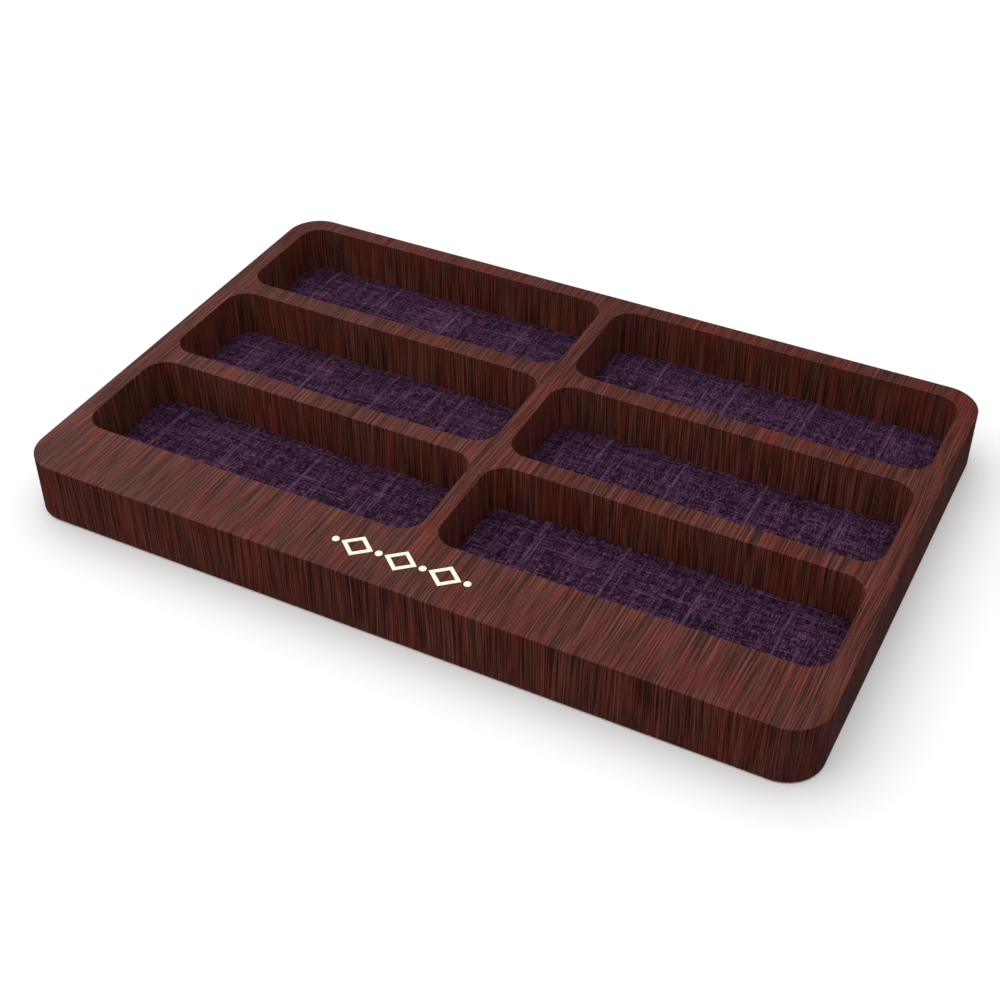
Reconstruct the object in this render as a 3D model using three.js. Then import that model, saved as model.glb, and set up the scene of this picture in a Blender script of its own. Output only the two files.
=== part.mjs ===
// Multi-pocket eyewear tray: a veneered board body with six round-cornered pockets, each with a
// drop-in linen pad, a small brass inlay on the wide front margin and four rubber feet.
//
// Millimetres. +X runs to the right along the long side, +Y to the back and +Z up. The origin is
// the centre of the footprint, on the surface that the feet stand on.

import * as THREE from 'three';

// Driving dimensions of the tray
const WIDTH = 340;
const DEPTH = 220;
const CORNER_RADIUS = 15.6;
const POCKET_RADIUS = 10;
const SIDE_MARGIN = 8.2;
const BACK_MARGIN = 8.2;
const DIVIDER = 7.2;
const STRIP = 9.4;
const POCKET_DEPTHS = { back: 55.3, middle: 53, front: 53 };

// Thicknesses, from the surface upwards
const FOOT_STAND = 0.6;
const VENEER = 0.6;
const BASE_BOARD = 2.5;
const CORE = 23.1;

// Levels
const BODY_BOTTOM = FOOT_STAND;
const BOARD_BOTTOM = BODY_BOTTOM + VENEER;
const BOARD_TOP = BOARD_BOTTOM + BASE_BOARD;
const CORE_TOP = BOARD_TOP + CORE;

// Drop-in pads: a card wrapped with foam and linen, with its hem turned under the card
const PAD_CLEARANCE = 0.4;
const LINEN = 0.5;
const CARD = 1.2;
const FOAM = 1.0;
const FILLING_GAP = 0.15;
const HEM_WIDTH = 12;
const PAD_EDGE_RADIUS = 0.8;
const PAD_EDGE_TURNS = 3;

// Rubber feet, let into holes in the bottom veneer
const FOOT_RADIUS = 6;
const FOOT_CHAMFER = 0.3;
const FOOT_HOLE_GAP = 0.3;
const FOOT_INSET = 20;

// Brass inlay, let into the top veneer and standing slightly proud of it: a row of open lozenges
// with a dot before, between and after them
const INLAY_THICKNESS = 0.7;
const INLAY_GAP = 0.15;
const INLAY_PITCH = 9.5;
const LOZENGE_NAMES = ['left', 'centre', 'right'];
const LOZENGE_HALF = { x: 7, y: 6 };
const LOZENGE_OPENING = 0.64;
const DOT_NAMES = ['outer_left', 'inner_left', 'inner_right', 'outer_right'];
const DOT_RADIUS = 1.5;

// Straight segments in each quarter turn of a round corner, and round a disc
const CORNER_SEGMENTS = 8;
const PAD_SEGMENTS = 6;
const DISC_SEGMENTS = 20;

// An outline moved in past the middle of its round corners keeps this radius
const SMALLEST_RADIUS = 0.8;

const COLOURS = {
  veneer: { color: 0x4d2622, roughness: 0.45, metalness: 0 },
  board: { color: 0x8c6b4a, roughness: 0.85, metalness: 0 },
  linen: { color: 0x3d2742, roughness: 0.95, metalness: 0 },
  foam: { color: 0xd9d3c4, roughness: 0.9, metalness: 0 },
  card: { color: 0x8b8377, roughness: 0.9, metalness: 0 },
  brass: { color: 0xf0e0b0, roughness: 0.3, metalness: 1 },
  rubber: { color: 0x1d1c1c, roughness: 0.8, metalness: 0 },
};

const tray = new THREE.Group();

function addPiece(name, geometry, look, z = 0) {
  const mesh = new THREE.Mesh(geometry, new THREE.MeshStandardMaterial(COLOURS[look]));
  mesh.name = name;
  mesh.position.z = z;
  tray.add(mesh);
}

// ---------------------------------------------------------------------------------------------
// Outlines: a rectangle { x0, x1, y0, y1, radius } with round corners

// The same rectangle moved in by a distance, or out where the distance is negative
function inset(rect, distance) {
  return {
    x0: rect.x0 + distance,
    x1: rect.x1 - distance,
    y0: rect.y0 + distance,
    y1: rect.y1 - distance,
    radius: Math.max(rect.radius - distance, SMALLEST_RADIUS),
  };
}

// The corner points, anticlockwise from the right-hand side
function roundedPoints(rect, segments) {
  const { x0, x1, y0, y1, radius } = rect;
  const centres = [
    [x1 - radius, y1 - radius],
    [x0 + radius, y1 - radius],
    [x0 + radius, y0 + radius],
    [x1 - radius, y0 + radius],
  ];
  const points = [];
  centres.forEach(([cx, cy], corner) => {
    for (let step = 0; step <= segments; step += 1) {
      const angle = (corner + step / segments) * (Math.PI / 2);
      points.push(new THREE.Vector2(cx + radius * Math.cos(angle), cy + radius * Math.sin(angle)));
    }
  });
  return points;
}

function circlePoints(cx, cy, radius, segments) {
  return Array.from({ length: segments }, (_, step) => {
    const angle = (step / segments) * 2 * Math.PI;
    return new THREE.Vector2(cx + radius * Math.cos(angle), cy + radius * Math.sin(angle));
  });
}

// A flat sheet or board: an outline with holes, given a thickness
function sheet(outline, holes, thickness) {
  const shape = new THREE.Shape(outline);
  shape.holes = holes.map((points) => new THREE.Path(points));
  return new THREE.ExtrudeGeometry(shape, { depth: thickness, bevelEnabled: false });
}

const footprint = {
  x0: -WIDTH / 2,
  x1: WIDTH / 2,
  y0: -DEPTH / 2,
  y1: DEPTH / 2,
  radius: CORNER_RADIUS,
};
const boardFootprint = inset(footprint, VENEER);

// The six pockets, laid out from the back margin forwards on each side of the divider
function layOutPockets() {
  const columns = {
    left: [-WIDTH / 2 + SIDE_MARGIN, -DIVIDER / 2],
    right: [DIVIDER / 2, WIDTH / 2 - SIDE_MARGIN],
  };
  const pockets = [];
  let back = DEPTH / 2 - BACK_MARGIN;
  for (const [row, depth] of Object.entries(POCKET_DEPTHS)) {
    for (const [side, [x0, x1]] of Object.entries(columns)) {
      const rect = { x0, x1, y0: back - depth, y1: back, radius: POCKET_RADIUS };
      pockets.push({ name: `${row}_${side}`, rect });
    }
    back -= depth + STRIP;
  }
  return pockets;
}

const pockets = layOutPockets();
const frontPocketEdge = Math.min(...pockets.map(({ rect }) => rect.y0));
const inlayCentre = (frontPocketEdge - DEPTH / 2) / 2;

// ---------------------------------------------------------------------------------------------
// Body: a base board and a routed core, glued together and veneered all round

function addBody() {
  const outer = roundedPoints(footprint, CORNER_SEGMENTS);
  const inner = roundedPoints(boardFootprint, CORNER_SEGMENTS);
  const linedHoles = pockets.map(({ rect }) => roundedPoints(inset(rect, -VENEER), CORNER_SEGMENTS));
  addPiece('base_board', sheet(inner, [], BASE_BOARD), 'board', BOARD_BOTTOM);
  addPiece('core_grid', sheet(inner, linedHoles, CORE), 'board', BOARD_TOP);
  addPiece('edge_veneer', sheet(outer, [inner], BASE_BOARD + CORE), 'veneer', BOARD_BOTTOM);
}

function addPocketVeneers() {
  for (const { name, rect } of pockets) {
    const back = roundedPoints(inset(rect, -VENEER), CORNER_SEGMENTS);
    const face = roundedPoints(rect, CORNER_SEGMENTS);
    addPiece(`pocket_veneer_${name}`, sheet(back, [face], CORE), 'veneer', BOARD_TOP);
  }
}

// ---------------------------------------------------------------------------------------------
// Inlay, and the top veneer that it is let into

// The middle of each piece in a row of evenly spaced ones, centred on the tray
function rowPlaces(names, spacing) {
  return names.map((name, order) => ({ name, x: (order - (names.length - 1) / 2) * spacing }));
}

const lozenges = rowPlaces(LOZENGE_NAMES, 2 * INLAY_PITCH);
const dots = rowPlaces(DOT_NAMES, 2 * INLAY_PITCH);

// A lozenge about a place on the inlay's line, with its slanted sides moved out by grow
function lozengePoints(middle, scale, grow = 0) {
  const { x, y } = LOZENGE_HALF;
  const size = scale + (grow * Math.hypot(x, y)) / (x * y);
  return [
    new THREE.Vector2(middle + x * size, inlayCentre),
    new THREE.Vector2(middle, inlayCentre + y * size),
    new THREE.Vector2(middle - x * size, inlayCentre),
    new THREE.Vector2(middle, inlayCentre - y * size),
  ];
}

function addInlay() {
  for (const { name, x } of lozenges) {
    const frame = sheet(lozengePoints(x, 1), [lozengePoints(x, LOZENGE_OPENING)], INLAY_THICKNESS);
    addPiece(`inlay_lozenge_${name}`, frame, 'brass', CORE_TOP);
    // The veneer inside a lozenge is an island of its own
    const island = sheet(lozengePoints(x, LOZENGE_OPENING, -INLAY_GAP), [], VENEER);
    addPiece(`veneer_island_${name}`, island, 'veneer', CORE_TOP);
  }
  for (const { name, x } of dots) {
    const disc = sheet(circlePoints(x, inlayCentre, DOT_RADIUS, DISC_SEGMENTS), [], INLAY_THICKNESS);
    addPiece(`inlay_dot_${name}`, disc, 'brass', CORE_TOP);
  }
}

// One sheet over the whole top, with its pocket openings flush with the pocket veneers
function addTopVeneer() {
  const cuts = [
    ...pockets.map(({ rect }) => roundedPoints(rect, CORNER_SEGMENTS)),
    ...lozenges.map(({ x }) => lozengePoints(x, 1, INLAY_GAP)),
    ...dots.map(({ x }) => circlePoints(x, inlayCentre, DOT_RADIUS + INLAY_GAP, DISC_SEGMENTS)),
  ];
  const outline = roundedPoints(footprint, CORNER_SEGMENTS);
  addPiece('top_veneer', sheet(outline, cuts, VENEER), 'veneer', CORE_TOP);
}

// ---------------------------------------------------------------------------------------------
// Underside: a balancing veneer with a hole for each foot

function footPlaces() {
  const x = WIDTH / 2 - FOOT_INSET;
  const y = DEPTH / 2 - FOOT_INSET;
  return {
    front_left: [-x, -y],
    front_right: [x, -y],
    back_left: [-x, y],
    back_right: [x, y],
  };
}

function addBottomVeneer() {
  const holes = Object.values(footPlaces()).map(([x, y]) => (
    circlePoints(x, y, FOOT_RADIUS + FOOT_HOLE_GAP, DISC_SEGMENTS)
  ));
  const outline = roundedPoints(footprint, CORNER_SEGMENTS);
  addPiece('bottom_veneer', sheet(outline, holes, VENEER), 'veneer', BODY_BOTTOM);
}

// A disc stuck to the base board, with a small chamfer round its standing face
function addFeet() {
  const profile = [
    new THREE.Vector2(0, 0),
    new THREE.Vector2(FOOT_RADIUS - FOOT_CHAMFER, 0),
    new THREE.Vector2(FOOT_RADIUS, FOOT_CHAMFER),
    new THREE.Vector2(FOOT_RADIUS, BOARD_BOTTOM),
    new THREE.Vector2(0, BOARD_BOTTOM),
  ];
  for (const [name, [x, y]] of Object.entries(footPlaces())) {
    const foot = new THREE.LatheGeometry(profile, DISC_SEGMENTS);
    // A lathe turns about +Y, so it is stood up on +Z before it is placed
    foot.rotateX(Math.PI / 2);
    foot.translate(x, y, 0);
    addPiece(`rubber_foot_${name}`, foot, 'rubber');
  }
}

// ---------------------------------------------------------------------------------------------
// Pads

// A closed skin through a list of rings { distance, z }, each the outline moved in by distance.
// The first and last rings are filled in.
function ringSkin(rect, rings) {
  const loops = rings.map(({ distance, z }) => (
    roundedPoints(inset(rect, distance), PAD_SEGMENTS).map(({ x, y }) => [x, y, z])
  ));
  const count = loops[0].length;
  const index = [];
  for (let ring = 0; ring + 1 < loops.length; ring += 1) {
    for (let step = 0; step < count; step += 1) {
      const next = (step + 1) % count;
      const low = ring * count;
      const high = low + count;
      index.push(low + step, low + next, high + next);
      index.push(low + step, high + next, high + step);
    }
  }
  const lastLoop = (loops.length - 1) * count;
  const flat = (loop) => loop.map(([x, y]) => new THREE.Vector2(x, y));
  for (const [a, b, c] of THREE.ShapeUtils.triangulateShape(flat(loops[0]), [])) {
    index.push(c, b, a);
  }
  for (const [a, b, c] of THREE.ShapeUtils.triangulateShape(flat(loops[loops.length - 1]), [])) {
    index.push(lastLoop + a, lastLoop + b, lastLoop + c);
  }
  const geometry = new THREE.BufferGeometry();
  geometry.setAttribute('position', new THREE.Float32BufferAttribute(loops.flat(2), 3));
  geometry.setIndex(index);
  return geometry;
}

// The linen runs from the underside of the foam ceiling, down inside, round the hem, up outside
// over a rounded edge and across the top
function linenCover(rect) {
  const height = LINEN + CARD + FOAM + LINEN;
  const rings = [
    { distance: LINEN, z: height - LINEN },
    { distance: LINEN, z: LINEN },
    { distance: HEM_WIDTH, z: LINEN },
    { distance: HEM_WIDTH, z: 0 },
    { distance: LINEN, z: 0 },
    { distance: 0, z: LINEN },
  ];
  for (let turn = 0; turn <= PAD_EDGE_TURNS; turn += 1) {
    const angle = (turn / PAD_EDGE_TURNS) * (Math.PI / 2);
    rings.push({
      distance: PAD_EDGE_RADIUS * (1 - Math.cos(angle)),
      z: height - PAD_EDGE_RADIUS * (1 - Math.sin(angle)),
    });
  }
  return ringSkin(rect, rings);
}

function addPads() {
  for (const { name, rect } of pockets) {
    const cover = inset(rect, PAD_CLEARANCE);
    const filling = roundedPoints(inset(cover, LINEN + FILLING_GAP), PAD_SEGMENTS);
    const cardBottom = BOARD_TOP + LINEN;
    addPiece(`pad_linen_${name}`, linenCover(cover), 'linen', BOARD_TOP);
    addPiece(`pad_card_${name}`, sheet(filling, [], CARD), 'card', cardBottom);
    addPiece(`pad_foam_${name}`, sheet(filling, [], FOAM), 'foam', cardBottom + CARD);
  }
}

addBody();
addPocketVeneers();
addTopVeneer();
addInlay();
addBottomVeneer();
addFeet();
addPads();

export default tray;
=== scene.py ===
"""The looks of the multi-pocket eyewear tray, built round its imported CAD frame.

Everything is in metres: +X to the right along the long side, +Y to the back, +Z up, with the
origin on the surface that the feet stand on. Sizes and places are worked out from the frame.
"""

import math
from collections import namedtuple

import bpy
from mathutils import Matrix, Vector, noise
from mathutils.geometry import tessellate_polygon


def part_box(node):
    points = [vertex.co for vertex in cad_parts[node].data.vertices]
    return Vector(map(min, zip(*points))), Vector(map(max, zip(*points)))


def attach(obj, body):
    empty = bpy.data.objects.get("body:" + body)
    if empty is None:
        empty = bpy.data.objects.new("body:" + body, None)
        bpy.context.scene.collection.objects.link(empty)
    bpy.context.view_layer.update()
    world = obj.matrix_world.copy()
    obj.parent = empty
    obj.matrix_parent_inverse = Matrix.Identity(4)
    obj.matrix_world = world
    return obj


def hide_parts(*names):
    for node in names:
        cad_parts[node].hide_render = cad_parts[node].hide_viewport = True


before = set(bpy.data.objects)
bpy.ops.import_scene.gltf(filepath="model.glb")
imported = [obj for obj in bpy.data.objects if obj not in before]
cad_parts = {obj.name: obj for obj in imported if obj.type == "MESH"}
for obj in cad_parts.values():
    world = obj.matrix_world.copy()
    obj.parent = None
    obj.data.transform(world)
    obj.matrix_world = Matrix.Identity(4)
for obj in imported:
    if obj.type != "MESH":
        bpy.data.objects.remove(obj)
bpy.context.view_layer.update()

MM = 0.001
QUARTER = math.pi / 2

# ---------------------------------------------------------------------------------------------
# Sizes

CORNER_RADIUS = 15.6 * MM
POCKET_RADIUS = 10 * MM
INLAY_GAP = 0.15 * MM

# Fine shaping that the CAD model leaves out
TOP_EDGE_ROUND = 0.3 * MM
BOTTOM_EDGE_ROUND = 0.4 * MM
INLAY_EDGE_ROUND = 0.07 * MM
FOOT_EDGE_ROUND = 0.25 * MM
FOOT_DISH_DEPTH = 0.15 * MM
FOOT_GAP = 0.3 * MM
ROUND_STEPS = 3
CORNER_STEPS = 24
DISC_STEPS = 48

# Pads
PAD_CELL = 1.6 * MM
PAD_TOP_ROUND = 0.9 * MM
PAD_BOTTOM_ROUND = 0.5 * MM
PAD_ROUND_STEPS = 4
HEM_STRAIGHT = 9 * MM
HEM_WIDTH = 12 * MM
LINEN_THICKNESS = 0.5 * MM

# How the linen is stuffed. The simulation runs on pads drawn larger, which suits it better.
SIM_SCALE = 10
SIM_FRAMES = 20
STUFFING_PRESSURE = 1.5
LINEN_SLACK = 0.002
PAD_LOOSE_RINGS = 2
MOST_RISE = 0.9 * MM
MOST_SHIFT = 0.1 * MM
# The linen starts out uneven by this much, with so many rises and dips to a metre
UNEVEN = 0.06 * MM
UNEVEN_PER_M = 60.0

top_low, top_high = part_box("top_veneer")
VENEER = top_high.z - top_low.z
ROWS = ("back", "middle", "front")
SIDES = ("left", "right")
POCKETS = [f"{row}_{side}" for row in ROWS for side in SIDES]
LOZENGES = ("left", "centre", "right")
DOTS = ("outer_left", "inner_left", "inner_right", "outer_right")
FEET = ("front_left", "front_right", "back_left", "back_right")


# ---------------------------------------------------------------------------------------------
# Outlines, seen from above

# A point of an outline: its place, the way out of the material there, and its place across the
# grain of an edge strip that follows the outline
Point = namedtuple("Point", "x y out_x out_y across")

# An outline's points, and the place along the grain of its edge strip at the tray's top
Outline = namedtuple("Outline", "points along")


def closed(places, across_at):
    """Points with their places across the grain, ending with the first one again."""
    points = []
    way = 0.0
    for step, (x, y, out_x, out_y) in enumerate([*places, places[0]]):
        if step:
            before = points[-1]
            way += math.hypot(x - before.x, y - before.y)
        points.append(Point(x, y, out_x, out_y, way))
    return [point._replace(across=across_at(point.across, way)) for point in points]


def rounded(rect, radius, seam):
    """A rectangle with round corners, anticlockwise from the middle of its back or front side.

    Its edge strip has its seam there. The grain on the other long side runs on from the top.
    """
    x0, x1, y0, y1 = rect
    middle = (x0 + x1) / 2
    corners = [
        (x0 + radius, y1 - radius, 1),
        (x0 + radius, y0 + radius, 2),
        (x1 - radius, y0 + radius, 3),
        (x1 - radius, y1 - radius, 4),
    ]
    places = [(middle, y1, 0.0, 1.0)]
    if seam == "front":
        corners = corners[2:] + corners[:2]
        places = [(middle, y0, 0.0, -1.0)]
    for centre_x, centre_y, turn in corners:
        for step in range(CORNER_STEPS + 1):
            angle = (turn + step / CORNER_STEPS) * QUARTER
            out_x = math.cos(angle)
            out_y = math.sin(angle)
            places.append((centre_x + radius * out_x, centre_y + radius * out_y, out_x, out_y))
    if seam == "front":
        return Outline(closed(places, lambda way, whole: middle + whole / 2 - way), y1)
    return Outline(closed(places, lambda way, whole: middle + way - whole / 2), y0)


def circle(x, y, radius):
    places = []
    for step in range(DISC_STEPS):
        angle = step / DISC_STEPS * 4 * QUARTER
        out_x = math.cos(angle)
        out_y = math.sin(angle)
        places.append((x + radius * out_x, y + radius * out_y, out_x, out_y))
    return Outline(closed(places, lambda way, whole: x + way), y)


def lozenge(x, y, half_x, half_y):
    """Its ways out are long enough to move its slanted sides by the distance asked for."""
    slant = math.hypot(half_x, half_y)
    reach_x = slant / half_y
    reach_y = slant / half_x
    places = [
        (x + half_x, y, reach_x, 0.0),
        (x, y + half_y, 0.0, reach_y),
        (x - half_x, y, -reach_x, 0.0),
        (x, y - half_y, 0.0, -reach_y),
    ]
    return Outline(closed(places, lambda way, whole: x + way), y)


def grown(outline, distance):
    """The same outline moved out by a distance."""
    points = [
        point._replace(x=point.x + point.out_x * distance, y=point.y + point.out_y * distance)
        for point in outline.points
    ]
    return Outline(points, outline.along)


def hole(outline):
    """The same outline as an opening, where the way out of the material is into the opening."""
    points = [
        point._replace(out_x=-point.out_x, out_y=-point.out_y)
        for point in reversed(outline.points)
    ]
    return Outline(points, outline.along)


def box_rect(node, inwards=0.0):
    low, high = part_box(node)
    return (low.x + inwards, high.x - inwards, low.y + inwards, high.y - inwards)


def box_middle(node):
    low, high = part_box(node)
    return (low + high) / 2


def box_half(node):
    low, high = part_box(node)
    return (high - low) / 2


def box_heights(node):
    low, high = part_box(node)
    return low.z, high.z


# ---------------------------------------------------------------------------------------------
# Meshes


class Shell:
    """A mesh in the making. Each corner of a face has its place in the grain of the wood."""

    def __init__(self):
        self.points = []
        self.faces = []
        self.grain = []

    def add_ring(self, outline, inwards, z):
        """The outline's points at a height, moved into the material. Returns their numbers."""
        first = len(self.points)
        for point in outline.points[:-1]:
            x = point.x - point.out_x * inwards
            y = point.y - point.out_y * inwards
            self.points.append((x, y, z))
        return [*range(first, len(self.points)), first]

    def add_face(self, corners, grain):
        self.faces.append(corners)
        self.grain.extend(grain)

    def add_wall(self, outline, rings):
        """Faces between rings of one outline, the lowest ring first."""
        for low, high in zip(rings, rings[1:]):
            for step in range(len(outline.points) - 1):
                steps = (step, step + 1, step + 1, step)
                corners = [ring[at] for ring, at in zip((low, low, high, high), steps)]
                grain = [
                    (
                        outline.points[at].across,
                        outline.along + self.points[corner][2] - top_high.z,
                        0.0,
                    )
                    for corner, at in zip(corners, steps)
                ]
                self.add_face(corners, grain)

    def add_cap(self, rings, upwards):
        """A flat face inside the first ring and outside the others."""
        numbers = [number for ring in rings for number in ring[:-1]]
        loops = [[Vector(self.points[number]) for number in ring[:-1]] for ring in rings]
        for triangle in tessellate_polygon(loops):
            corners = [numbers[at] for at in triangle]
            a, b, c = (Vector(self.points[number]) for number in corners)
            if ((b - a).cross(c - a).z > 0) != upwards:
                corners.reverse()
            self.add_face(corners, [(*self.points[number][:2], 0.0) for number in corners])

    def build(self, name, material):
        mesh = bpy.data.meshes.new(name)
        mesh.from_pydata(self.points, [], self.faces)
        grain = mesh.attributes.new("grain", "FLOAT_VECTOR", "CORNER")
        grain.data.foreach_set("vector", [number for corner in self.grain for number in corner])
        return add_object(name, mesh, material)


def add_object(name, mesh, material):
    """A smooth-shaded object whose flat faces stay flat and whose square edges stay sharp."""
    mesh.polygons.foreach_set("use_smooth", [True] * len(mesh.polygons))
    mesh.set_sharp_from_angle(angle=math.radians(40))
    mesh.materials.append(material)
    piece = bpy.data.objects.new(name, mesh)
    bpy.context.scene.collection.objects.link(piece)
    shading = piece.modifiers.new("Even shading", "WEIGHTED_NORMAL")
    shading.keep_sharp = True
    return piece


def quarter_round(radius):
    """Distances inwards and down from a rounded edge, from the flat side to the flat top."""
    turns = [step / ROUND_STEPS * QUARTER for step in range(ROUND_STEPS + 1)]
    return [(radius * (1 - math.cos(turn)), radius * (1 - math.sin(turn))) for turn in turns]


def edge_profile(low, high, bottom_round, top_round):
    """Distances inwards and heights up a plate's edge."""
    profile = [(0.0, low)]
    if bottom_round:
        profile = [(inwards, low + down) for inwards, down in reversed(quarter_round(bottom_round))]
    if top_round:
        profile += [(inwards, high - down) for inwards, down in quarter_round(top_round)]
    else:
        profile.append((0.0, high))
    return profile


def add_sheet(name, edges, material):
    """A flat sheet. Each edge is an outline and its profile: the outside first, then holes."""
    shell = Shell()
    lowest = []
    highest = []
    for outline, profile in edges:
        rings = [shell.add_ring(outline, inwards, z) for inwards, z in profile]
        shell.add_wall(outline, rings)
        lowest.append(rings[0])
        highest.append(rings[-1])
    shell.add_cap(lowest, upwards=False)
    shell.add_cap(highest, upwards=True)
    return shell.build(name, material)


def add_plate(name, outlines, heights, material, bottom_round=0.0, top_round=0.0):
    """A flat sheet with the same profile at all its edges."""
    profile = edge_profile(*heights, bottom_round, top_round)
    return add_sheet(name, [(outline, profile) for outline in outlines], material)


def place(piece, body, slot, *nodes):
    """Hangs a piece on the empty of the body that it moves with, and hides the CAD nodes that it
    stands for. The slot, its finish, is not used.
    """
    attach(piece, body)
    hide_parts(*nodes)


# ---------------------------------------------------------------------------------------------
# Materials


class Nodes:
    """Shader nodes in the making: each method adds a node and returns what it gives."""

    def __init__(self, owner):
        owner.use_nodes = True
        self.nodes = owner.node_tree.nodes
        self.links = owner.node_tree.links

    def node(self, kind, inputs, output=0, **settings):
        made = self.nodes.new(kind)
        for name, value in settings.items():
            setattr(made, name, value)
        for name, value in inputs.items():
            self.feed(made.inputs[name], value)
        return made.outputs[output]

    def feed(self, socket, value):
        if isinstance(value, bpy.types.NodeSocket):
            self.links.new(value, socket)
        else:
            socket.default_value = value

    def maths(self, operation, a, b=0.0, c=0.0):
        return self.node("ShaderNodeMath", {0: a, 1: b, 2: c}, operation=operation)

    def part(self, vector, axis):
        return self.node("ShaderNodeSeparateXYZ", {0: vector}, axis)

    def step(self, value, start, end, low=0.0, high=1.0, kind="SMOOTHSTEP"):
        """A step from low, where the value is start, to high, where it is end."""
        inputs = {
            "Value": value,
            "From Min": start,
            "From Max": end,
            "To Min": low,
            "To Max": high,
        }
        return self.node("ShaderNodeMapRange", inputs, interpolation_type=kind)


class Surface(Nodes):
    """A material in the making."""

    def __init__(self, name):
        self.material = bpy.data.materials.new(name)
        super().__init__(self.material)
        self.shader = self.nodes["Principled BSDF"]

    def shade(self, **inputs):
        """Sets the shader's own inputs, named with _ for a space."""
        for name, value in inputs.items():
            self.feed(self.shader.inputs[name.replace("_", " ")], value)

    def places(self, attribute):
        """An attribute of the mesh that holds places, in millimetres, as two numbers."""
        place = self.node(
            "ShaderNodeAttribute", {}, "Vector", attribute_name=attribute, attribute_type="GEOMETRY"
        )
        scaled = self.node(
            "ShaderNodeVectorMath", {0: place, 1: (1000.0,) * 3}, operation="MULTIPLY"
        )
        return self.part(scaled, "X"), self.part(scaled, "Y")

    def solid_places(self):
        """The object's own coordinates, in millimetres."""
        place = self.node("ShaderNodeTexCoord", {}, "Object")
        return self.node("ShaderNodeVectorMath", {0: place, 1: (1000.0,) * 3}, operation="MULTIPLY")

    def weigh(self, amount, a, b):
        """A number between b, where amount is 0, and a, where it is 1."""
        return self.maths("MULTIPLY_ADD", self.maths("SUBTRACT", a, b), amount, b)

    def tinted(self, colour, painted_light_gain):
        """A colour with its red, green and blue each times its own number."""
        return self.node("ShaderNodeVectorMath", {0: colour, 1: painted_light_gain}, operation="MULTIPLY")

    def pair(self, x, y, z=0.0):
        return self.node("ShaderNodeCombineXYZ", {0: x, 1: y, 2: z})

    def noise(self, vector, scale, detail=2.0, roughness=0.5):
        inputs = {"Vector": vector, "Scale": scale, "Detail": detail, "Roughness": roughness}
        return self.node("ShaderNodeTexNoise", inputs, "Fac")

    def streaks(self, across, along, per_mm_across, per_mm_along, detail=2.0, shift=0.0):
        """Noise drawn out along the grain, with so many features to a millimetre each way."""
        x = self.maths("MULTIPLY_ADD", across, per_mm_across, shift)
        y = self.maths("MULTIPLY_ADD", along, per_mm_along, shift)
        return self.noise(self.pair(x, y), 1.0, detail)

    def blend(self, amount, a, b):
        """A colour between a, where amount is 0, and b, where it is 1."""
        return self.node("ShaderNodeMix", {"Factor": amount, 6: a, 7: b}, 2, data_type="RGBA")

    def bump(self, height, distance, strength):
        inputs = {"Height": height, "Distance": distance, "Strength": strength}
        return self.node("ShaderNodeBump", inputs)


def linear(red, green, blue):
    """A colour given as it shows on a screen, from 0 to 255, as the linear colour of a node."""
    parts = []
    for part in (red, green, blue):
        share = part / 255
        parts.append(share / 12.92 if share <= 0.04045 else ((share + 0.055) / 1.055) ** 2.4)
    return (*parts, 1.0)


def wood_material(name, shift=0.0, painted_light_gain=(1.0, 1.0, 1.0), contrast=1.0):
    """Dark red-brown veneer with fine straight grain and a satin lacquer.

    The shift, in millimetres, goes to another part of the grain. The painted_light_gain multiplies
    the colour, to paint lighter or darker copies of the veneer that stand in for light and shade.
    """
    wood = Surface(name)
    across, along = wood.places("grain")
    across = wood.maths("ADD", across, shift)
    # The grain wanders a little sideways
    wander = wood.streaks(across, along, 0.04, 0.012, 1.0)
    across = wood.maths("MULTIPLY_ADD", wander, 4.0, across)
    # Fine lines over wider streaks, from dark to light
    medium = wood.streaks(across, along, 0.4, 0.03, 2.0, 31.0)
    fine = wood.streaks(across, along, 1.8, 0.03, 3.0, 43.0)
    hairs = wood.streaks(across, along, 3.4, 0.03, 1.0, 83.0)
    tone = wood.maths("MULTIPLY_ADD", medium, 0.35, fine)
    tone = wood.maths("MULTIPLY_ADD", hairs, 0.6, tone)
    specks = wood.noise(wood.pair(across, along), 1.6, 1.0)
    tone = wood.maths("MULTIPLY_ADD", specks, 0.25, tone)
    half_range = 0.15 / contrast
    light = wood.step(tone, 1.1 - half_range, 1.1 + half_range)
    # Grey-brown wood with redder patches
    bands = wood.streaks(across, along, 0.07, 0.012, 1.0, 11.0)
    patches = wood.streaks(across, along, 0.15, 0.035, 2.0, 23.0)
    warm = wood.step(wood.maths("MULTIPLY_ADD", bands, 0.6, patches), 0.72, 0.98)
    grey_brown = wood.blend(light, linear(41, 20, 16), linear(88, 46, 39))
    red_brown = wood.blend(light, linear(49, 19, 15), linear(100, 42, 34))
    colour = wood.blend(warm, grey_brown, red_brown)
    # Dark streaks that fade at their ends, and thin pinkish lines
    most = 0.55 * contrast
    dark = wood.streaks(across, along, 0.85, 0.04, 2.0, 57.0)
    colour = wood.blend(wood.step(dark, 0.41, 0.28, 0.0, most), colour, linear(38, 20, 16))
    pale = wood.streaks(across, along, 1.6, 0.02, 1.0, 67.0)
    colour = wood.blend(wood.step(pale, 0.56, 0.7, 0.0, most), colour, linear(126, 66, 58))
    # Open pores: short dark dashes
    pores = wood.streaks(across, along, 3.6, 0.25, 1.0, 71.0)
    pore = wood.step(pores, 0.37, 0.26)
    colour = wood.blend(wood.maths("MULTIPLY", pore, 0.5), colour, linear(31, 16, 12))
    height = wood.maths("SUBTRACT", wood.maths("MULTIPLY", fine, 0.5), pore)
    wood.shade(
        Base_Color=wood.tinted(colour, painted_light_gain),
        Roughness=wood.step(fine, 0.3, 0.7, 0.42, 0.3),
        Normal=wood.bump(height, 0.03 * MM, 0.5),
        Specular_IOR_Level=0.07,
    )
    return wood.material


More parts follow.
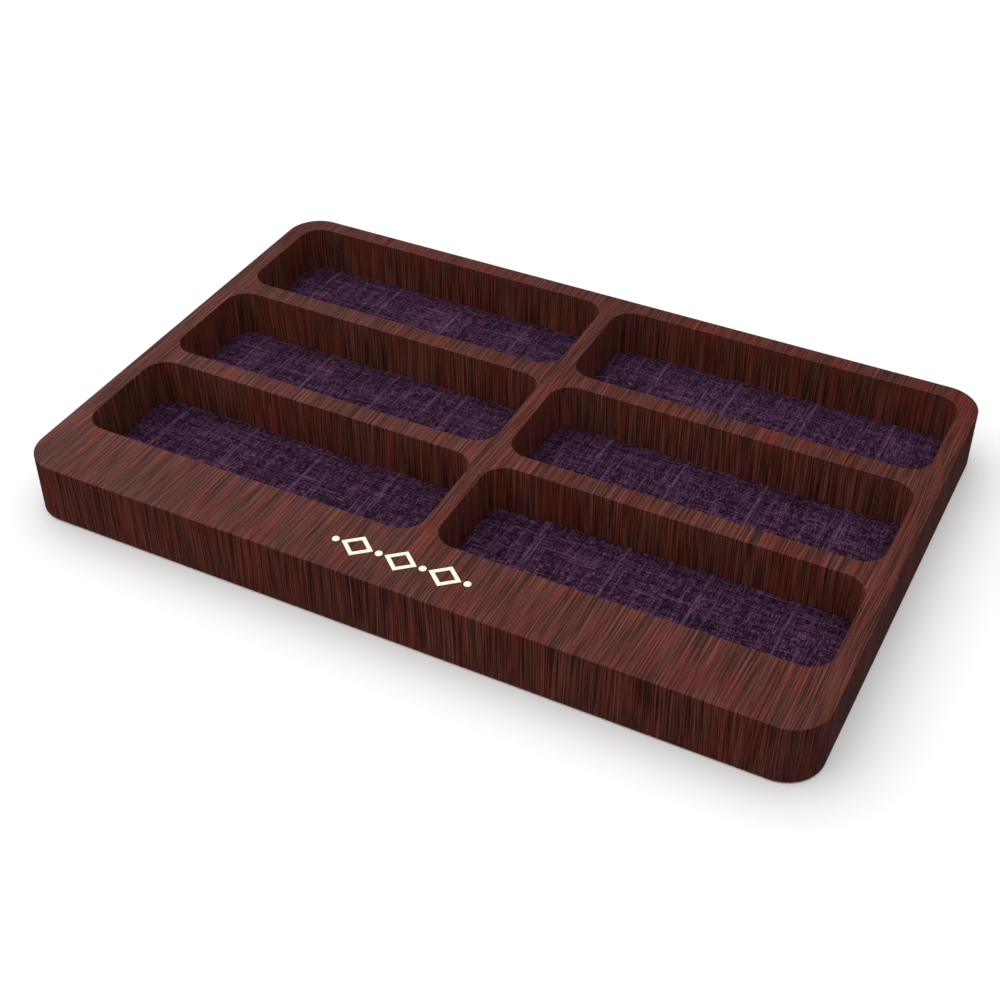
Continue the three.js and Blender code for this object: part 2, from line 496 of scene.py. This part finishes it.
def linen_material(name):
    """A plain weave of uneven purple threads, with paler slubs in both directions."""
    linen = Surface(name)
    u, v = linen.places("weave")
    threads_per_mm = 1.5
    # Each thread's own tone, which changes slowly along it
    warp = linen.streaks(u, v, 1.5, 0.06, 3.0)
    weft = linen.streaks(u, v, 0.06, 1.5, 3.0, 13.0)
    wave_u = linen.maths("SINE", linen.maths("MULTIPLY", u, math.pi * threads_per_mm))
    wave_v = linen.maths("SINE", linen.maths("MULTIPLY", v, math.pi * threads_per_mm))
    over = linen.step(linen.maths("MULTIPLY", wave_u, wave_v), -0.4, 0.4, 0.25, 0.75)
    tone = linen.weigh(over, warp, weft)
    # Groups of paler and darker threads, and fine fibres
    warps = linen.streaks(u, v, 0.35, 0.03, 2.0, 41.0)
    wefts = linen.streaks(u, v, 0.03, 0.35, 2.0, 53.0)
    group = linen.maths("ADD", warps, wefts)
    tone = linen.maths("MULTIPLY_ADD", group, 0.26, tone)
    warp_fibres = linen.streaks(u, v, 2.6, 0.35, 1.0, 61.0)
    weft_fibres = linen.streaks(u, v, 0.35, 2.6, 1.0, 73.0)
    fibres = linen.maths("ADD", warp_fibres, weft_fibres)
    tone = linen.maths("MULTIPLY_ADD", fibres, 0.75, tone)
    colour = linen.blend(linen.step(tone, 1.41, 1.84), linear(14, 4, 15), linear(94, 58, 88))
    # Slubs are thick pale stretches of a thread
    slub_warp = linen.streaks(u, v, 0.6, 0.03, 1.0, 19.0)
    slub_weft = linen.streaks(u, v, 0.03, 0.6, 1.0, 29.0)
    slub = linen.step(linen.maths("MAXIMUM", slub_warp, slub_weft), 0.62, 0.77, 0.0, 0.28)
    # Thick warp threads come back at every repeat of the weave
    repeat_mm = 35.2
    first_mm = -4.7
    turn = linen.maths("MULTIPLY", linen.maths("SUBTRACT", u, first_mm), 2 * math.pi / repeat_mm)
    thick = linen.step(linen.maths("COSINE", turn), 0.988, 0.9995, 0.0, 0.34)
    uneven = linen.step(linen.streaks(u, v, 1.3, 0.12, 2.0, 37.0), 0.3, 0.62)
    pale = linen.maths("MAXIMUM", slub, linen.maths("MULTIPLY", thick, uneven))
    colour = linen.blend(pale, colour, linear(116, 88, 118))
    rise_u = linen.maths("ABSOLUTE", wave_u)
    rise_v = linen.maths("ABSOLUTE", wave_v)
    height = linen.maths("MULTIPLY_ADD", tone, 0.6, linen.maths("MULTIPLY", rise_u, rise_v))
    linen.shade(
        Base_Color=colour,
        Roughness=linen.step(tone, 1.3, 1.8, 0.95, 0.8),
        Normal=linen.bump(height, 0.1 * MM, 0.5),
        Specular_IOR_Level=0.08,
    )
    return linen.material


def brass_material(name):
    """Pale brass, brushed along the tray and clear lacquered."""
    brass = Surface(name)
    place = brass.solid_places()
    brushed = brass.streaks(brass.part(place, "X"), brass.part(place, "Y"), 0.25, 9.0, 3.0)
    cloud = brass.noise(place, 0.35, 2.0)
    colour = brass.blend(brass.step(brushed, 0.3, 0.7), linear(236, 224, 192), linear(244, 236, 212))
    colour = brass.blend(brass.step(cloud, 0.5, 0.75, 0.0, 0.3), colour, linear(234, 218, 176))
    brass.shade(
        Base_Color=colour,
        Metallic=0.1,
        Roughness=brass.step(brushed, 0.3, 0.7, 0.26, 0.4),
        Normal=brass.bump(brushed, 0.01 * MM, 0.5),
        Specular_IOR_Level=0.2,
    )
    return brass.material


def board_material(name):
    """Pressed fibreboard: short pale and dark fibres lying every way."""
    board = Surface(name)
    place = board.solid_places()
    fibres = board.noise(place, 2.6, 4.0, 0.7)
    clumps = board.noise(place, 0.5, 3.0)
    colour = board.blend(board.step(fibres, 0.35, 0.65), linear(112, 80, 56), linear(168, 129, 96))
    colour = board.blend(board.step(clumps, 0.5, 0.7, 0.0, 0.4), colour, linear(134, 98, 68))
    board.shade(
        Base_Color=colour,
        Roughness=board.step(fibres, 0.3, 0.7, 0.95, 0.8),
        Normal=board.bump(fibres, 0.08 * MM, 0.5),
    )
    return board.material


def card_material(name):
    """Grey board made of recycled paper, with darker and paler flecks."""
    card = Surface(name)
    place = card.solid_places()
    flecks = card.noise(place, 1.8, 3.0, 0.8)
    mottle = card.noise(place, 0.25, 2.0)
    colour = card.blend(card.step(flecks, 0.4, 0.62), linear(116, 110, 102), linear(150, 144, 134))
    colour = card.blend(card.step(mottle, 0.45, 0.7, 0.0, 0.4), colour, linear(134, 126, 114))
    card.shade(
        Base_Color=colour,
        Roughness=card.step(flecks, 0.3, 0.7, 0.95, 0.82),
        Normal=card.bump(flecks, 0.05 * MM, 0.4),
    )
    return card.material


def foam_material(name):
    """Off-white foam with small open cells."""
    foam = Surface(name)
    place = foam.solid_places()
    cells = foam.node("ShaderNodeTexVoronoi", {"Vector": place, "Scale": 1.6}, "Distance")
    colour = foam.blend(foam.step(cells, 0.1, 0.6), linear(196, 190, 174), linear(232, 227, 212))
    foam.shade(
        Base_Color=colour,
        Roughness=foam.step(cells, 0.1, 0.6, 1.0, 0.85),
        Normal=foam.bump(cells, 0.3 * MM, 0.6),
    )
    return foam.material


def rubber_material(name):
    """Matt black rubber with a fine moulded grain."""
    rubber = Surface(name)
    place = rubber.solid_places()
    grain = rubber.noise(place, 5.0, 2.0)
    dust = rubber.noise(place, 0.7, 3.0)
    colour = rubber.blend(rubber.step(dust, 0.45, 0.75), linear(28, 27, 27), linear(46, 45, 44))
    rubber.shade(
        Base_Color=colour,
        Roughness=rubber.step(grain, 0.3, 0.7, 0.9, 0.7),
        Normal=rubber.bump(grain, 0.06 * MM, 0.5),
    )
    return rubber.material


WOOD = wood_material("Veneer")
# The top and the lozenges' islands use the veneer painted a little darker, a painted shade that
# offsets how brightly the overhead light falls on the top; their grain is also drawn with more
# contrast
TOP_WOOD_PAINTED_DARKER = wood_material("Top veneer painted darker", painted_light_gain=(0.95, 0.95, 0.93), contrast=1.35)
# The pocket linings use the veneer painted much lighter: painted light standing in for the light
# that reaches the pocket walls
POCKET_WOOD_PAINTED_LIGHTER = wood_material("Pocket veneer painted lighter", painted_light_gain=(1.34, 1.5, 1.42))
UNDERSIDE_WOOD = wood_material("Underside veneer", shift=517.0)
LINEN = linen_material("Purple linen")
BRASS = brass_material("Pale brass")
BOARD = board_material("Fibreboard")
CARD = card_material("Grey card")
FOAM = foam_material("Foam")
RUBBER = rubber_material("Rubber")


# ---------------------------------------------------------------------------------------------
# Tray body

tray_outline = rounded(box_rect("top_veneer"), CORNER_RADIUS, seam="back")
pocket_outlines = {
    name: rounded(box_rect(f"pocket_veneer_{name}", VENEER), POCKET_RADIUS, seam="front")
    for name in POCKETS
}


def inlay_outlines(kind, names):
    """Each inlay piece's outline, by name."""
    outlines = {}
    for name in names:
        middle = box_middle(f"inlay_{kind}_{name}")
        half = box_half(f"inlay_{kind}_{name}")
        if kind == "dot":
            outlines[name] = circle(middle.x, middle.y, half.x)
        else:
            outlines[name] = lozenge(middle.x, middle.y, half.x, half.y)
    return outlines


lozenge_outlines = inlay_outlines("lozenge", LOZENGES)
dot_outlines = inlay_outlines("dot", DOTS)


def add_top_veneer():
    """One sheet over the whole top, with openings for the pockets and the inlay."""
    soft = edge_profile(top_low.z, top_high.z, 0.0, TOP_EDGE_ROUND)
    crisp = edge_profile(top_low.z, top_high.z, 0.0, INLAY_EDGE_ROUND)
    inlays = [*lozenge_outlines.values(), *dot_outlines.values()]
    edges = [(tray_outline, soft)]
    edges += [(hole(outline), soft) for outline in pocket_outlines.values()]
    edges += [(hole(grown(outline, INLAY_GAP)), crisp) for outline in inlays]
    place(add_sheet("top_veneer_sheet", edges, TOP_WOOD_PAINTED_DARKER), "tray", "veneer", "top_veneer")


def add_edge_veneer():
    inside = hole(grown(tray_outline, -VENEER))
    piece = add_plate("edge_veneer_band", [tray_outline, inside], box_heights("edge_veneer"), WOOD)
    place(piece, "tray", "veneer", "edge_veneer")


def add_pocket_veneers():
    for name, outline in pocket_outlines.items():
        node = f"pocket_veneer_{name}"
        rims = [grown(outline, VENEER), hole(outline)]
        piece = add_plate(f"pocket_lining_{name}", rims, box_heights(node), POCKET_WOOD_PAINTED_LIGHTER)
        place(piece, "tray", "veneer", node)


def add_bottom_veneer():
    """One sheet with an opening round each foot."""
    cuts = []
    for name in FEET:
        middle = box_middle(f"rubber_foot_{name}")
        radius = box_half(f"rubber_foot_{name}").x + FOOT_GAP
        cuts.append(hole(circle(middle.x, middle.y, radius)))
    piece = add_plate(
        "bottom_veneer_sheet",
        [tray_outline, *cuts],
        box_heights("bottom_veneer"),
        UNDERSIDE_WOOD,
        bottom_round=BOTTOM_EDGE_ROUND,
    )
    place(piece, "tray", "veneer", "bottom_veneer")


def add_inlay():
    """Open lozenges and dots, standing slightly proud, with an island of veneer in each lozenge."""
    for name, outline in lozenge_outlines.items():
        node = f"inlay_lozenge_{name}"
        middle = box_middle(node)
        island_half = box_half(f"veneer_island_{name}")
        island = lozenge(middle.x, middle.y, island_half.x, island_half.y)
        piece = add_plate(
            f"brass_lozenge_{name}",
            [outline, hole(grown(island, INLAY_GAP))],
            box_heights(node),
            BRASS,
            top_round=INLAY_EDGE_ROUND,
        )
        place(piece, "tray", "brass", node)
        node = f"veneer_island_{name}"
        piece = add_plate(
            f"island_{name}", [island], box_heights(node), TOP_WOOD_PAINTED_DARKER, top_round=INLAY_EDGE_ROUND
        )
        place(piece, "tray", "veneer", node)
    for name, outline in dot_outlines.items():
        node = f"inlay_dot_{name}"
        piece = add_plate(
            f"brass_dot_{name}", [outline], box_heights(node), BRASS, top_round=INLAY_EDGE_ROUND
        )
        place(piece, "tray", "brass", node)


def add_feet():
    """Discs with a rounded lower edge and a shallow dish in the face that they stand on."""
    for name in FEET:
        node = f"rubber_foot_{name}"
        foot_low, foot_high = box_heights(node)
        middle = box_middle(node)
        radius = box_half(node).x
        outline = circle(middle.x, middle.y, radius)
        rounding = [
            (inwards, foot_low + down) for inwards, down in reversed(quarter_round(FOOT_EDGE_ROUND))
        ]
        dish = [
            (radius * share, foot_low + FOOT_DISH_DEPTH * math.sin(share * QUARTER))
            for share in (0.9, 0.7, 0.5)
        ]
        profile = [*dish, (radius * 0.35, foot_low), *rounding, (0.0, foot_high)]
        piece = add_sheet(f"foot_{name}", [(outline, profile)], RUBBER)
        place(piece, "tray", "rubber", node)


add_top_veneer()
add_edge_veneer()
add_pocket_veneers()
add_bottom_veneer()
add_inlay()
add_feet()


# ---------------------------------------------------------------------------------------------
# Pads: a card wrapped with foam and linen, with the linen's hem turned under it


def corner_place(p, q, radius):
    """Where a place in a square corner, p and q from 0 to 1, goes in a round one."""
    if p == q == 0:
        return 0.0, 0.0
    far = max(p, q)
    turn = q / p * QUARTER / 2 if p >= q else QUARTER - p / q * QUARTER / 2
    return radius * far * math.cos(turn), radius * far * math.sin(turn)


def spaced(half, radius):
    """Places from -half to half about a cell apart, with whole cells in each corner."""
    corner = round(radius / PAD_CELL)
    middle = round(2 * (half - radius) / PAD_CELL)
    inner = half - radius
    places = [-half + radius * step / corner for step in range(corner)]
    places += [-inner + 2 * inner * step / middle for step in range(middle)]
    places += [inner + radius * step / corner for step in range(corner + 1)]
    return places


def pad_ceiling(half_x, half_y, radius):
    """A flat grid of square cells with round corners: its points, its faces and its rim."""
    columns = spaced(half_x, radius)
    rows = spaced(half_y, radius)
    inner_x = half_x - radius
    inner_y = half_y - radius
    points = []
    for y in rows:
        for x in columns:
            past_x = abs(x) - inner_x
            past_y = abs(y) - inner_y
            if past_x > 0 and past_y > 0:
                dx, dy = corner_place(past_x / radius, past_y / radius, radius)
                points.append((math.copysign(inner_x + dx, x), math.copysign(inner_y + dy, y)))
            else:
                points.append((x, y))
    wide = len(columns)
    faces = []
    for row in range(len(rows) - 1):
        for column in range(wide - 1):
            at = row * wide + column
            faces.append((at, at + 1, at + 1 + wide, at + wide))
    # The rim's points, anticlockwise from the front left
    last = len(rows) - 1
    rim = list(range(wide - 1))
    rim += [row * wide + wide - 1 for row in range(last)]
    rim += [last * wide + column for column in range(wide - 1, 0, -1)]
    rim += [row * wide for row in range(last, 0, -1)]
    return points, faces, rim


def way_out(x, y, half_x, half_y, radius):
    """The way out at a point on a rounded rectangle's rim."""
    past = Vector((max(abs(x) - (half_x - radius), 0.0), max(abs(y) - (half_y - radius), 0.0)))
    past.normalize()
    return math.copysign(past.x, x), math.copysign(past.y, y)


def edge_rings(height):
    """Rings round a pad's edge and under it, from the flat top's rim.

    For each: how far it stands out from the rim, its height, and its way round from the rim.
    """
    rings = []
    turns = [step / PAD_ROUND_STEPS * QUARTER for step in range(PAD_ROUND_STEPS + 1)]
    for turn in turns[1:]:
        drop = PAD_TOP_ROUND * (1 - math.cos(turn))
        rings.append((PAD_TOP_ROUND * math.sin(turn), height - drop, PAD_TOP_ROUND * turn))
    side_end = PAD_TOP_ROUND * QUARTER + height - PAD_TOP_ROUND - PAD_BOTTOM_ROUND
    for turn in turns:
        out = PAD_TOP_ROUND - PAD_BOTTOM_ROUND * (1 - math.cos(turn))
        rise = PAD_BOTTOM_ROUND * (1 - math.sin(turn))
        rings.append((out, rise, side_end + PAD_BOTTOM_ROUND * turn))
    hem_start = rings[-1]
    for share in (0.5, 1.0):
        inwards = HEM_STRAIGHT * share
        rings.append((hem_start[0] - inwards, 0.0, hem_start[2] + inwards))
    return rings


def add_band(faces, upper, lower):
    """Faces between two rings of points, facing out."""
    for step, number in enumerate(upper):
        after = (step + 1) % len(upper)
        faces.append((number, lower[step], lower[after], upper[after]))


def linen_skin(name):
    """The outer skin of a pad's linen, and how many of its points may move when it is stuffed."""
    low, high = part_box(f"pad_linen_{name}")
    middle = (low + high) / 2
    half = (high - low) / 2
    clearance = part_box(f"pocket_veneer_{name}")[1].x - VENEER - high.x
    radius = POCKET_RADIUS - clearance - PAD_TOP_ROUND
    flat_half = (half.x - PAD_TOP_ROUND, half.y - PAD_TOP_ROUND)
    flat, faces, rim = pad_ceiling(*flat_half, radius)
    outs = [way_out(*flat[number], *flat_half, radius) for number in rim]
    height = high.z - low.z
    points = [(x, y, height) for x, y in flat]
    weave = list(flat)
    before = rim
    for out, z, way in edge_rings(height):
        first = len(points)
        for number, (out_x, out_y) in zip(rim, outs):
            x, y = flat[number]
            points.append((x + out_x * out, y + out_y * out, z))
            weave.append((x + out_x * way, y + out_y * way))
        ring = list(range(first, len(points)))
        add_band(faces, before, ring)
        before = ring
    first = len(points)
    hem_x = half.x - PAD_BOTTOM_ROUND
    hem_y = half.y - PAD_BOTTOM_ROUND
    for number in before:
        x, y, z = points[number]
        x *= (hem_x - HEM_WIDTH) / (hem_x - HEM_STRAIGHT)
        y *= (hem_y - HEM_WIDTH) / (hem_y - HEM_STRAIGHT)
        points.append((x, y, z))
        weave.append(weave[number])
    add_band(faces, before, list(range(first, len(points))))
    mesh = bpy.data.meshes.new(f"linen_pad_{name}")
    mesh.from_pydata([(x + middle.x, y + middle.y, z + low.z) for x, y, z in points], [], faces)
    places = [(x + middle.x, y + middle.y, 0.0) for x, y in weave]
    attribute = mesh.attributes.new("weave", "FLOAT_VECTOR", "POINT")
    attribute.data.foreach_set("vector", [number for row in places for number in row])
    mesh.polygons.foreach_set("use_smooth", [True] * len(mesh.polygons))
    mesh.materials.append(LINEN)
    piece = bpy.data.objects.new(f"linen_pad_{name}", mesh)
    bpy.context.scene.collection.objects.link(piece)
    return piece, len(flat) + PAD_LOOSE_RINGS * len(rim)


def stuff_pads(skins):
    """Blows the loose part of each skin up a little by cloth simulation."""
    starts = {}
    for piece, loose in skins:
        points = piece.data.vertices
        starts[piece.name] = [point.co.copy() for point in points]
        for point in points:
            uneven = noise.noise(point.co * UNEVEN_PER_M) if point.index < loose else 0.0
            point.co = (point.co + Vector((0.0, 0.0, uneven * UNEVEN))) * SIM_SCALE
        held = piece.vertex_groups.new(name="held")
        held.add(list(range(loose, len(points))), 1.0, "REPLACE")
        cloth = piece.modifiers.new("Cloth", "CLOTH")
        settings = cloth.settings
        settings.quality = 6
        settings.mass = 0.3
        settings.tension_stiffness = 30
        settings.compression_stiffness = 30
        settings.shear_stiffness = 10
        settings.bending_stiffness = 1.5
        settings.vertex_group_mass = held.name
        settings.use_pressure = True
        settings.uniform_pressure_force = STUFFING_PRESSURE
        settings.shrink_min = -LINEN_SLACK
        settings.effector_weights.gravity = 0
        cloth.point_cache.frame_start = 1
        cloth.point_cache.frame_end = SIM_FRAMES
    for number in range(1, SIM_FRAMES + 1):
        bpy.context.scene.frame_set(number)
    graph = bpy.context.evaluated_depsgraph_get()
    for piece, _ in skins:
        blown = [point.co / SIM_SCALE for point in piece.evaluated_get(graph).data.vertices]
        piece.modifiers.remove(piece.modifiers["Cloth"])
        piece.vertex_groups.clear()
        for point, start, end in zip(piece.data.vertices, starts[piece.name], blown):
            point.co = start + limited(end - start)
    bpy.context.scene.frame_set(1)


def limited(move):
    """A move that levels off at the most that the linen may rise, and hardly goes sideways."""
    rise = MOST_RISE * math.tanh(move.z / MOST_RISE)
    return Vector((
        max(-MOST_SHIFT, min(MOST_SHIFT, move.x)),
        max(-MOST_SHIFT, min(MOST_SHIFT, move.y)),
        max(rise, 0.0),
    ))


def add_pads():
    skins = [linen_skin(name) for name in POCKETS]
    stuff_pads(skins)
    for name, (piece, _) in zip(POCKETS, skins):
        cloth = piece.modifiers.new("Linen thickness", "SOLIDIFY")
        cloth.thickness = LINEN_THICKNESS
        cloth.offset = -1
        place(piece, f"pad_{name}", "linen", f"pad_linen_{name}")


add_pads()


# ---------------------------------------------------------------------------------------------
# CAD nodes that are shown as they are


def finish_node(node, material):
    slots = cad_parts[node].data.materials
    slots.clear()
    slots.append(material)


finish_node("base_board", BOARD)
finish_node("core_grid", BOARD)
for pocket in POCKETS:
    finish_node(f"pad_card_{pocket}", CARD)
    finish_node(f"pad_foam_{pocket}", FOAM)


# ---------------------------------------------------------------------------------------------
# Studio


def add_floor():
    mesh = bpy.data.meshes.new("Floor")
    reach = 6.0
    corners = [(-reach, -reach, 0), (reach, -reach, 0), (reach, reach, 0), (-reach, reach, 0)]
    mesh.from_pydata(corners, [], [(0, 1, 2, 3)])
    paper = Surface("White paper")
    paper.shade(Base_Color=(0.9, 0.9, 0.9, 1.0), Roughness=0.9, Specular_IOR_Level=0.0)
    mesh.materials.append(paper.material)
    floor = bpy.data.objects.new("Floor", mesh)
    bpy.context.scene.collection.objects.link(floor)
    # No light bounces up from the floor, so the tray's sides are lit by the room alone
    floor.visible_diffuse = False
    floor.visible_glossy = False
    floor.visible_shadow = False


def add_lamp():
    """A wide soft light overhead, leaning a little to the left, that no surface mirrors."""
    light = bpy.data.lights.new("Overhead", "SUN")
    light.energy = 2.5
    light.angle = math.radians(94)
    lamp = bpy.data.objects.new("Overhead", light)
    lamp.rotation_euler = (math.radians(2), math.radians(-12), 0.0)
    lamp.visible_glossy = False
    bpy.context.scene.collection.objects.link(lamp)


def add_room():
    """White all round: dimmer below and overhead, and mirrored mostly high at the front left."""
    world = bpy.data.worlds.new("Studio")
    room = Nodes(world)
    way = room.node("ShaderNodeTexCoord", {}, "Generated")
    up = room.part(way, "Z")
    lower = room.step(up, -0.1, 0.1, 0.5, 0.6, "LINEAR")
    upper = room.step(up, 0.1, 0.7, 1.0, 0.6, "LINEAR")
    front_left = room.node(
        "ShaderNodeVectorMath", {0: way, 1: (-0.5, -0.6, 1.5)}, "Value", operation="DOT_PRODUCT"
    )
    # Low in the room there is nothing bright to mirror, even at the front left
    front_left = room.maths("MULTIPLY", front_left, room.step(up, 0.05, 0.45, 0.5, 1.0, "LINEAR"))
    mirrored = room.step(front_left, 0.55, 0.9, 0.045, 3.4, "LINEAR")
    glossy = room.node("ShaderNodeLightPath", {}, "Is Glossy Ray")
    lighting = {"Factor": glossy, "A": room.maths("MULTIPLY", lower, upper), "B": mirrored}
    # Behind the floor's far edge the room looks plain white
    camera = room.node("ShaderNodeLightPath", {}, "Is Camera Ray")
    shown = {"Factor": camera, "A": room.node("ShaderNodeMix", lighting), "B": 1.0}
    background = room.nodes["Background"].inputs
    room.feed(background["Color"], (1.0, 1.0, 1.0, 1.0))
    room.feed(background["Strength"], room.node("ShaderNodeMix", shown))
    bpy.context.scene.world = world


def add_camera():
    azimuth = math.radians(27.2)
    elevation = math.radians(39.5)
    roll = math.radians(-0.2)
    aim = Vector((2.1, -16.2, 0.6)) * MM
    distance = 692 * MM
    flat = math.cos(elevation)
    back = Vector((math.sin(azimuth) * flat, -math.cos(azimuth) * flat, math.sin(elevation)))
    right = Vector((0.0, 0.0, 1.0)).cross(back).normalized()
    upwards = back.cross(right)
    turned_right = right * math.cos(roll) + upwards * math.sin(roll)
    turned_up = upwards * math.cos(roll) - right * math.sin(roll)
    lens = bpy.data.cameras.new("Camera")
    lens.sensor_width = 36
    lens.lens = 59.5
    lens.clip_start = 0.01
    camera = bpy.data.objects.new("Camera", lens)
    axes = Matrix((turned_right, turned_up, back)).transposed().to_4x4()
    camera.matrix_world = Matrix.Translation(aim + back * distance) @ axes
    bpy.context.scene.collection.objects.link(camera)
    bpy.context.scene.camera = camera


add_floor()
add_lamp()
add_room()
add_camera()
bpy.context.scene.view_settings.view_transform = "Standard"
